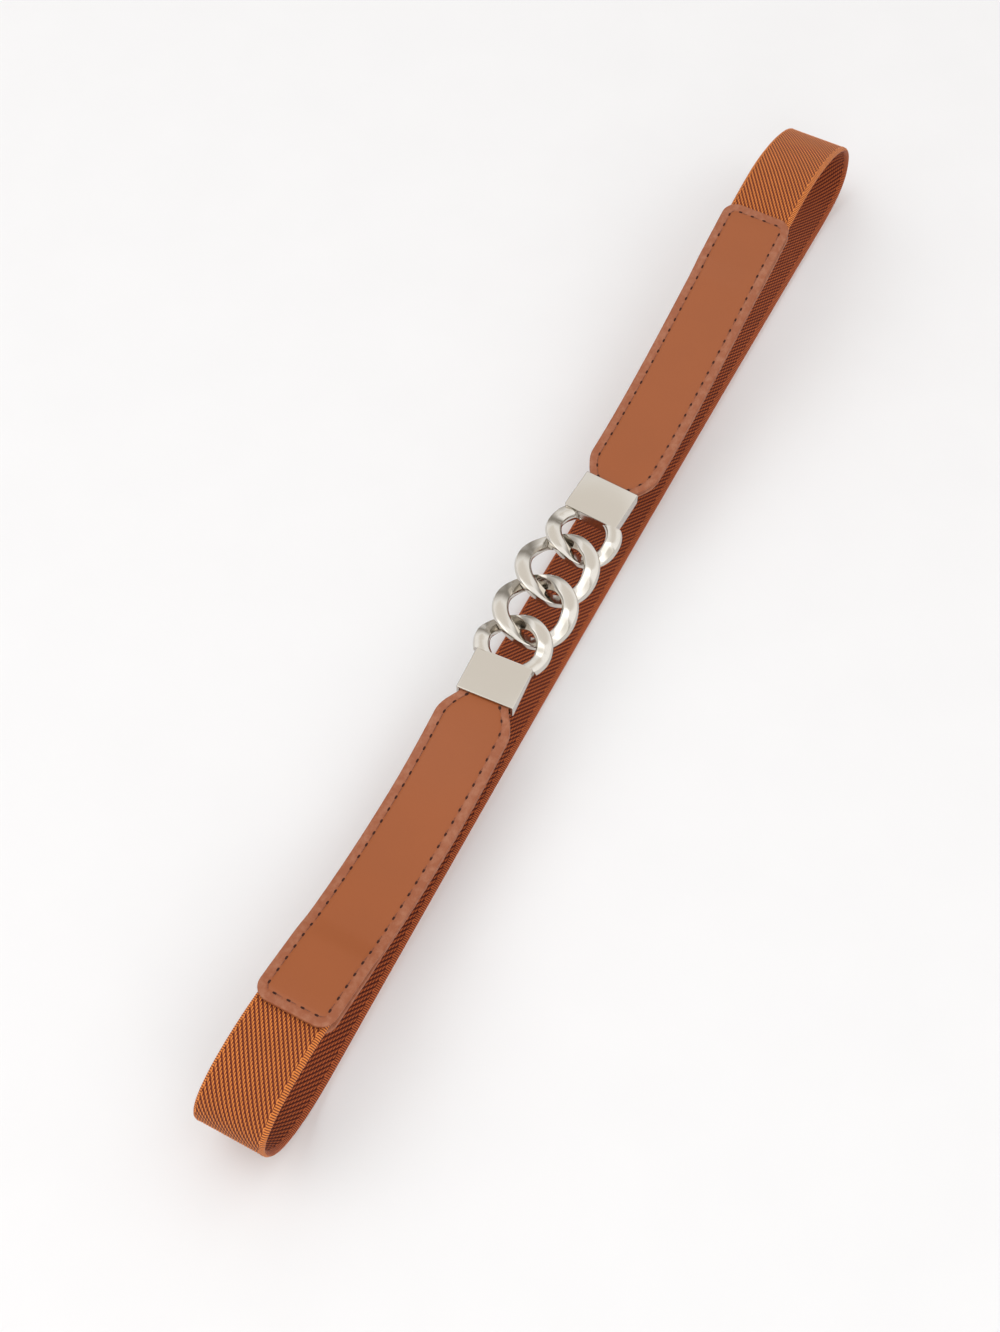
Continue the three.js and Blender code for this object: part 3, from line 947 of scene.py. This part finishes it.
def thread_stitch(tree, given, material):
    """One stitch: a short thread whose ends dip into the leather."""
    down = add_node(
        tree, "ShaderNodeMath", {"operation": "MULTIPLY"}, {0: given["Dip"], 1: -1.0}).outputs[0]
    ends = []
    for half in (-0.5, 0.5):
        reach = add_node(
            tree, "ShaderNodeMath", {"operation": "MULTIPLY"},
            {0: given["Pitch"], 1: half}).outputs[0]
        ends.append(add_node(
            tree, "ShaderNodeCombineXYZ", None, {"X": reach, "Z": down}).outputs["Vector"])
    rise = add_node(tree, "ShaderNodeCombineXYZ", None, {"Z": given["Dip"]}).outputs["Vector"]
    bow = add_node(
        tree, "GeometryNodeCurveQuadraticBezier", None,
        {"Resolution": 8, "Start": ends[0], "Middle": rise, "End": ends[1]}).outputs["Curve"]
    radius = add_node(
        tree, "ShaderNodeMath", {"operation": "MULTIPLY"}, {0: given["Thread"], 1: 0.5}).outputs[0]
    round_profile = add_node(
        tree, "GeometryNodeCurvePrimitiveCircle", None,
        {"Resolution": 8, "Radius": radius}).outputs["Curve"]
    thread = add_node(
        tree, "GeometryNodeCurveToMesh", None,
        {"Curve": bow, "Profile Curve": round_profile, "Fill Caps": True}).outputs["Mesh"]
    return add_node(
        tree, "GeometryNodeSetMaterial", None,
        {"Geometry": thread, "Material": material}).outputs["Geometry"]


def needle_hole_shade(tree, given, material):
    """One needle hole: a flat dark oval of painted shade, proud of the groove by a hair."""
    ball = add_node(
        tree, "GeometryNodeMeshUVSphere", None,
        {"Segments": 12, "Rings": 6, "Radius": 0.5}).outputs["Mesh"]
    size = add_node(
        tree, "ShaderNodeCombineXYZ", None,
        {"X": given["Hole length"], "Y": given["Hole width"],
         "Z": given["Hole height"]}).outputs["Vector"]
    flat = add_node(
        tree, "GeometryNodeTransform", None, {"Geometry": ball, "Scale": size}).outputs["Geometry"]
    return add_node(
        tree, "GeometryNodeSetMaterial", None,
        {"Geometry": flat, "Material": material}).outputs["Geometry"]


def run_nodes(path, tree, sizes, name):
    """Runs a node tree on an object and keeps the result as a plain mesh of that name."""
    modifier = path.modifiers.new("Nodes", "NODES")
    modifier.node_group = tree
    for item in tree.interface.items_tree:
        if item.in_out == "INPUT" and item.name in sizes:
            modifier[item.identifier] = sizes[item.name]
    graph = bpy.context.evaluated_depsgraph_get()
    made = bpy.data.meshes.new_from_object(path.evaluated_get(graph))
    path.modifiers.remove(modifier)
    bpy.data.objects.remove(path)
    made.name = name
    return add_object(name, made)


class BELT_OT_stitches(bpy.types.Operator):
    """Lays the stitches round the front and back of both tabs"""

    bl_idname = "belt.stitches"
    bl_label = "Stitch tabs"

    def execute(self, context):
        scene = context.scene
        leather = scene.belt_leather
        line = BeltLine(scene)
        sizes = stitch_sizes(leather)
        tree = stitch_tree(sizes, thread_material(leather), hole_shade_material(leather))
        for word, side in SIDES.items():
            for way, face in FACES.items():
                path = stitch_path_piece(scene, line, side, face, f"stitch_path_{way}_{word}")
                piece = run_nodes(path, tree, sizes, f"stitches_{way}_{word}")
                if not piece.data.polygons:
                    raise RuntimeError(f"no stitches were laid on {piece.name}")
                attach(piece, "root")
        return {"FINISHED"}


# Metal

# How soft the change is from a link's slopes to its ground faces
GRINDING_SOFTNESS = 0.6 * MM

# A half link flattens toward its cap: how fast, and how much of its rise it loses there
ROOT_SPREAD = 1.4
ROOT_FLATTENING = 0.8

# Share of the play between two links by which their wire widens inwards
REACH_IN_SHARE = 0.35

# How far inside a cap's end its half link is cut off, and how near to the cut a point is on it
SOLDER_DEPTH = 0.4 * MM
CUT_REACH = 1e-8

# Small bevel round the pocket's mouth, and how many times as fast a cap's end widens as it rises
CAP_LIP = 0.08 * MM
END_FLATNESS = 1.6

# Above this angle an edge of the metal stays sharp
SHARP_ANGLE = math.radians(28)

# Faint patches that are rubbed duller or brighter
RUBBING_SIZE = 8.333 * MM


def plated_metal_material(metal):
    """Die-cast zinc plated with bright nickel: a warm pale mirror with faint rubbing marks."""
    material, tree, shader = new_material(
        "bright_nickel_plate", metallic=1.0, base_color=linear(metal.colour))
    where = add_node(tree, "ShaderNodeTexCoord").outputs["Object"]
    rubbing = add_node(
        tree, "ShaderNodeTexNoise", None,
        {"Vector": where, "Scale": 1 / RUBBING_SIZE, "Detail": 3.0, "Roughness": 0.5}).outputs["Fac"]
    rough = add_node(
        tree, "ShaderNodeMapRange", None,
        {"Value": rubbing, "From Min": 0.3, "From Max": 0.7, "To Min": 0.09, "To Max": 0.15})
    tree.links.new(rough.outputs["Result"], shader.inputs["Roughness"])
    return material


def link_end_share(turn):
    """0 where a link's face is broad, and 1 where it narrows to a point at a crossing."""
    point_at, broad_from, narrow_from = 33, 16, 118
    past = np.mod(np.degrees(turn) - point_at, 180)
    opening = np.clip(1 - past / broad_from, 0, 1)
    closing = np.clip((past - narrow_from) / (180 - narrow_from), 0, 1)
    return smooth_step(np.maximum(opening, closing))


def wire_corners(end_share, reach_in):
    """Corners of the wire's section: places outwards and up, as shares of its half size.

    The face on top is broad at a link's sides. Towards the crossings it narrows to the outer
    edge, and a slope takes its place that faces into the link. reach_in widens the wire inwards.
    """
    flat = np.ones_like(end_share)
    crease = -0.8 + 1.45 * end_share
    return [
        (flat, 0.1 * flat),
        (0.8 * flat, 0.88 * flat),
        (0.45 + 0.55 * crease, flat),
        (crease, 0.84 * flat),
        (-1 - reach_in, 0.3 - 0.75 * end_share),
        (-0.62 - reach_in, -flat),
        (0.62 * flat, -flat),
    ]


def soft_limit(level, limit):
    """The level, rounded off so that it stays under the limit."""
    return limit - GRINDING_SOFTNESS * np.logaddexp(0, (limit - level) / GRINDING_SOFTNESS)


def curb_wire(metal, length, width, slacks, root_side, around=200):
    """Sections of a link's wire about the origin, their corners rounded.

    slacks are the gaps to the neighbours at its low and high end.
    """
    half_length = (length - metal.wire_end_width) / 2
    half_width = (width - metal.wire_width) / 2
    rise_most = (metal.wire_thickness + metal.wire_cross_gap) / 2
    limit = metal.chain_thickness / 2
    turn = 2 * math.pi * np.arange(around) / around
    root_share = np.clip(0.5 + ROOT_SPREAD * np.cos(turn) * root_side, 0, 1) * abs(root_side)
    flatter_root = 1 - ROOT_FLATTENING * smooth_step(root_share)
    out = np.stack([half_width * np.cos(turn), half_length * np.sin(turn)])
    out /= np.linalg.norm(out, axis=0)
    wide = metal.wire_end_width + (metal.wire_width - metal.wire_end_width) * np.sin(turn) ** 2
    rise = -rise_most * flatter_root * np.sin(2 * turn)
    high = soft_limit(rise + metal.wire_thickness / 2, limit)
    low = -soft_limit(metal.wire_thickness / 2 - rise, limit)
    slack = np.where(np.cos(turn) > 0, slacks[1], slacks[0])
    reach_in = REACH_IN_SHARE * slack * np.cos(turn) ** 2 / (wide / 2)
    points = []
    for across, up in rounded_corners(wire_corners(link_end_share(turn), reach_in)):
        x = half_length * np.cos(turn) + out[0] * across * wide / 2
        y = half_width * np.sin(turn) + out[1] * across * wide / 2
        points.append(np.stack([x, y, low + (high - low) * (up + 1) / 2], axis=-1))
    return np.stack(points, axis=1)


def rounded_corners(corners, reach=0.1):
    """Each corner of a section as three points, so that its edge catches a thin line of light."""
    points = []
    for i, here in enumerate(corners):
        here = np.stack(here)
        before = np.stack(corners[i - 1])
        after = np.stack(corners[(i + 1) % len(corners)])
        into = here + (before - here) * reach
        out_of = here + (after - here) * reach
        points += [into, (into + out_of + 2 * here) / 4, out_of]
    return points


def cut_flat(work, point, normal):
    """Grinds a mesh off beyond a plane and closes it there."""
    made = bmesh.ops.bisect_plane(
        work, geom=work.verts[:] + work.edges[:] + work.faces[:], plane_co=point, plane_no=normal,
        clear_outer=True, dist=CUT_REACH)
    rim = [e for e in made["geom_cut"] if isinstance(e, bmesh.types.BMEdge)]
    bmesh.ops.holes_fill(work, edges=rim)


def curb_link(metal, length, width, slacks, root_side=0, solder_line=None):
    """A link as bmesh, ground level above and below, cut off at its solder line if it has one."""
    points = curb_wire(metal, length, width, slacks, root_side)
    work = bmesh.new()
    verts = [work.verts.new(p) for p in points.reshape(-1, 3)]
    for face in grid_faces(*points.shape[:2], is_ring=True):
        work.faces.new([verts[i] for i in face])
    if solder_line is not None:
        cut_flat(work, (solder_line, 0, 0), (root_side, 0, 0))
    return work


def rounded_outline(half_width, half_height, radius, points=6):
    """A rounded rectangle's points, y then z, the same count whatever its size."""
    outline = []
    for quarter, (sy, sz) in enumerate(((1, 1), (-1, 1), (-1, -1), (1, -1))):
        for i in range(points):
            angle = math.pi / 2 * (quarter + i / (points - 1))
            outline.append((
                sy * (half_width - radius) + radius * math.cos(angle),
                sz * (half_height - radius) + radius * math.sin(angle)))
    return outline


def cap_shell(scene, side):
    """The cap's folded shell about its middle, as sections from its chain end to its pocket."""
    metal, leather, gap = scene.belt_metal, scene.belt_leather, scene.belt_sizes.clearance
    half_length, half_width = metal.cap_length / 2, metal.cap_width / 2
    half_height = leather.thickness + 1.5 * gap + metal.cap_wall
    bevel, corner = metal.cap_bevel, metal.cap_corner
    end_half_width, end_half_height = half_width - corner, half_height - bevel
    turns = np.linspace(0, math.pi / 2, 7)
    rows = [(0, end_half_width / 2, end_half_height / 2, bevel / 2)]
    for turn in turns:
        widening = corner * math.sin(turn)
        rise = min(bevel, widening / END_FLATNESS)
        depth = corner * (1 - math.cos(turn))
        rows.append((depth, end_half_width + widening, end_half_height + rise, bevel))
    for turn in turns[::-1]:
        inset = bevel * (1 - math.sin(turn))
        depth = metal.cap_length - bevel * (1 - math.cos(turn))
        rows.append((depth, half_width - inset, half_height - inset, bevel))
    pocket_width = half_width - metal.cap_side_wall
    pocket_height = half_height - metal.cap_wall
    rows += [
        (metal.cap_length, pocket_width + CAP_LIP, pocket_height + CAP_LIP, bevel),
        (metal.cap_length - CAP_LIP, pocket_width, pocket_height, bevel),
        (metal.cap_end_wall, pocket_width, pocket_height, bevel),
    ]
    return np.array([
        [(side * (depth - half_length), y, z) for y, z in rounded_outline(width, height, radius)]
        for depth, width, height, radius in rows])


def cap_piece(scene, line, word, material):
    """One end cap with its half link, in place."""
    metal = scene.belt_metal
    side = SIDES[word]
    face = -side * metal.cap_length / 2
    stand_off, slack = metal.half_link_stand_off, metal.half_link_slack
    work = curb_link(
        metal, 2 * (metal.half_link_reach - stand_off), metal.half_link_width, (slack, slack), side,
        side * (stand_off + SOLDER_DEPTH))
    move = Matrix.Translation((face - side * stand_off, LINK_PLAY[word]["root_aside"], 0))
    bmesh.ops.transform(work, matrix=move, verts=work.verts)
    shell = cap_shell(scene, side)
    verts = [work.verts.new(p) for p in shell.reshape(-1, 3)]
    for corners in skin_tube(shell):
        work.faces.new([verts[i] for i in corners])
    middle_x = side * (line.flat_half - metal.cap_length / 2)
    turn = float(line.sway_turn(middle_x, line.chain_height))
    aside = float(line.sway(middle_x, line.chain_height))
    place = Matrix.Translation(Vector((middle_x, aside, line.chain_height)) + Vector(line.shift))
    bmesh.ops.transform(work, matrix=place @ Matrix.Rotation(turn, 4, "Z"), verts=work.verts)
    return finish_metal(work, f"cap_{word}", material)


def link_piece(scene, line, word, material):
    """One free link, in place."""
    metal = scene.belt_metal
    play = LINK_PLAY[word]
    slacks = (metal.half_link_slack, metal.link_slack)[::-SIDES[word]]
    work = curb_link(metal, metal.link_length, metal.link_width, slacks)
    middle_x = SIDES[word] * line.link_pitch / 2 + play["along"]
    where = Vector((middle_x, play["aside"], line.chain_height)) + Vector(line.shift)
    bmesh.ops.transform(work, matrix=Matrix.Translation(where), verts=work.verts)
    return finish_metal(work, f"link_{word}", material)


def finish_metal(work, name, material):
    """Turns a bmesh into a piece, smooth apart from its ground and folded edges."""
    bmesh.ops.recalc_face_normals(work, faces=work.faces)
    for face in work.faces:
        face.smooth = True
    mesh = bpy.data.meshes.new(name)
    work.to_mesh(mesh)
    work.free()
    mesh.materials.append(material)
    mesh.set_sharp_from_angle(angle=SHARP_ANGLE)
    return add_object(name, mesh)


class BELT_OT_metal(bpy.types.Operator):
    """Makes the end caps with their half links, and the two free links"""

    bl_idname = "belt.metal"
    bl_label = "Make clasp"

    def execute(self, context):
        scene = context.scene
        line = BeltLine(scene)
        material = plated_metal_material(scene.belt_metal)
        for word in SIDES:
            cap = cap_piece(scene, line, word, material)
            link = link_piece(scene, line, word, material)
            for piece, node in ((cap, f"end_cap_{word}"), (link, f"chain_link_{word}")):
                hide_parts(node)
                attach(piece, "root")
        return {"FINISHED"}


# Stage

# Fibre of the paper
FIBRE_SIZE = 25 * MM


def floor_material(stage):
    """Seamless paper sweep: matt and nearly white, with a trace of fibre."""
    material, tree, shader = new_material("paper_sweep", roughness=0.9)
    where = add_node(tree, "ShaderNodeTexCoord").outputs["Object"]
    fibre = add_node(
        tree, "ShaderNodeTexNoise", None,
        {"Vector": where, "Scale": 1 / FIBRE_SIZE}).outputs["Fac"]
    colour = add_node(
        tree, "ShaderNodeMix", {"data_type": "RGBA"},
        {0: fibre, 6: linear(stage.floor_colour),
         7: linear(darker(stage.floor_colour, 0.99))}).outputs[2]
    tree.links.new(colour, shader.inputs["Base Color"])
    return material


# Colours of the room by height, from its horizon up to its ceiling, and how strongly it shines
ROOM_COLOURS = ((0.0, "D6D6D6"), (0.25, "85817B"), (0.5, "BFBDBA"), (0.75, "F4F4F4"), (1.0, "FFFFFF"))
ROOM_STRENGTH = 1.4

# Greyer patches of the room: toward what they lie, how wide they are (cosines) and their colour.
# The first one shows in the caps' faces, the second in the slopes inside the links.
ROOM_PATCHES = (
    ((0.43, 0.22, 0.88), 0.95, 0.985, "DEDAD5"),
    ((-0.67, 0.1, 0.735), 0.78, 0.96, "7A7464"),
)


def set_world(scene):
    """Pale studio: bright overhead, greyer at the walls, with two grey patches for the metal."""
    world = bpy.data.worlds.new("studio_room")
    world.use_nodes = True
    tree = world.node_tree
    way = add_node(tree, "ShaderNodeTexCoord").outputs["Generated"]
    height = add_node(tree, "ShaderNodeSeparateXYZ", None, {"Vector": way}).outputs["Z"]
    ramp = add_node(tree, "ShaderNodeValToRGB", None, {"Fac": height})
    stops = ramp.color_ramp.elements
    for position, _ in ROOM_COLOURS[1:-1]:
        stops.new(position)
    for stop, (position, colour) in zip(stops, ROOM_COLOURS):
        stop.position = position
        stop.color = linear(colour)
    light = ramp.outputs["Color"]
    for direction, rim, core, colour in ROOM_PATCHES:
        nearness = add_node(
            tree, "ShaderNodeVectorMath", {"operation": "DOT_PRODUCT"},
            {0: way, 1: direction}).outputs["Value"]
        share = add_node(
            tree, "ShaderNodeMapRange", {"interpolation_type": "SMOOTHSTEP"},
            {"Value": nearness, "From Min": rim, "From Max": core}).outputs["Result"]
        light = add_node(
            tree, "ShaderNodeMix", {"data_type": "RGBA"},
            {0: share, 6: light, 7: linear(colour)}).outputs[2]
    tree.links.new(light, tree.nodes["Background"].inputs["Color"])
    tree.nodes["Background"].inputs["Strength"].default_value = ROOM_STRENGTH
    scene.world = world


# Softboxes that look at the part's origin: place, width and power
SOFTBOXES = {
    "key_softbox": ((-0.55, 0.62, 1.2), 1.4, 4.8),
    "fill_softbox": ((-0.95, -0.75, 0.55), 1.2, 4.0),
}


def add_softbox(name, place, width, power):
    """A square white lamp that looks at the part's origin."""
    lamp = bpy.data.lights.new(name, "AREA")
    lamp.shape = "SQUARE"
    lamp.size = width
    lamp.energy = power
    box = add_object(name, lamp)
    box.location = place
    box.rotation_mode = "QUATERNION"
    box.rotation_quaternion = (-Vector(place)).to_track_quat("-Z", "Y")


class BELT_OT_stage(bpy.types.Operator):
    """Sets up the floor, the soft light and the camera"""

    bl_idname = "belt.stage"
    bl_label = "Set stage"

    def execute(self, context):
        scene = context.scene
        stage = scene.belt_stage
        half = stage.floor_size / 2
        corners = np.array([(-half, -half, 0), (half, -half, 0), (half, half, 0), (-half, half, 0)])
        floor = new_piece("floor", corners, [(0, 1, 2, 3)], floor_material(stage))
        set_world(scene)
        for name, (place, width, power) in SOFTBOXES.items():
            add_softbox(name, place, width, power)
        add_camera(scene, stage)
        scene.view_settings.view_transform = "Standard"
        return {"FINISHED"}


def add_camera(scene, stage):
    """Camera at the photograph's viewing angle."""
    data = bpy.data.cameras.new("camera")
    data.lens = stage.camera_lens
    data.sensor_width = 36
    data.clip_start = 0.01
    data.clip_end = 100
    camera = add_object("camera", data)
    camera.location = Vector(stage.camera_place) + Vector(BeltLine(scene).shift)
    camera.rotation_mode = "QUATERNION"
    camera.rotation_quaternion = Vector(stage.camera_view).to_track_quat("-Z", "Y")
    scene.camera = camera


class BELT_PT_panel(bpy.types.Panel):
    """Lists the belt's pieces in the 3D view's sidebar"""

    bl_idname = "BELT_PT_panel"
    bl_label = "Elastic waist belt"
    bl_space_type = "VIEW_3D"
    bl_region_type = "UI"
    bl_category = "Belt"

    def draw(self, context):
        scene = context.scene
        sections = (
            (scene.belt_sizes, None),
            (scene.belt_elastic, "belt.elastic"),
            (scene.belt_leather, "belt.leather"),
            (None, "belt.stitches"),
            (scene.belt_metal, "belt.metal"),
            (scene.belt_stage, "belt.stage"),
        )
        for settings, operator in sections:
            box = self.layout.box()
            for name in settings.__annotations__ if settings else ():
                box.prop(settings, name)
            if operator:
                box.operator(operator)


GROUPS = {
    "belt_sizes": BeltSizes,
    "belt_elastic": ElasticSettings,
    "belt_leather": LeatherSettings,
    "belt_metal": MetalSettings,
    "belt_stage": StageSettings,
}
OPERATORS = (BELT_OT_elastic, BELT_OT_leather, BELT_OT_stitches, BELT_OT_metal, BELT_OT_stage)


def register():
    for kind in (*GROUPS.values(), *OPERATORS, BELT_PT_panel):
        bpy.utils.register_class(kind)
    for name, group in GROUPS.items():
        setattr(bpy.types.Scene, name, bpy.props.PointerProperty(type=group))


def unregister():
    for name in GROUPS:
        delattr(bpy.types.Scene, name)
    for kind in reversed((*GROUPS.values(), *OPERATORS, BELT_PT_panel)):
        bpy.utils.unregister_class(kind)


def main():
    register()
    bpy.ops.belt.elastic()
    bpy.ops.belt.leather()
    bpy.ops.belt.stitches()
    bpy.ops.belt.metal()
    bpy.ops.belt.stage()


if __name__ == "__main__":
    main()
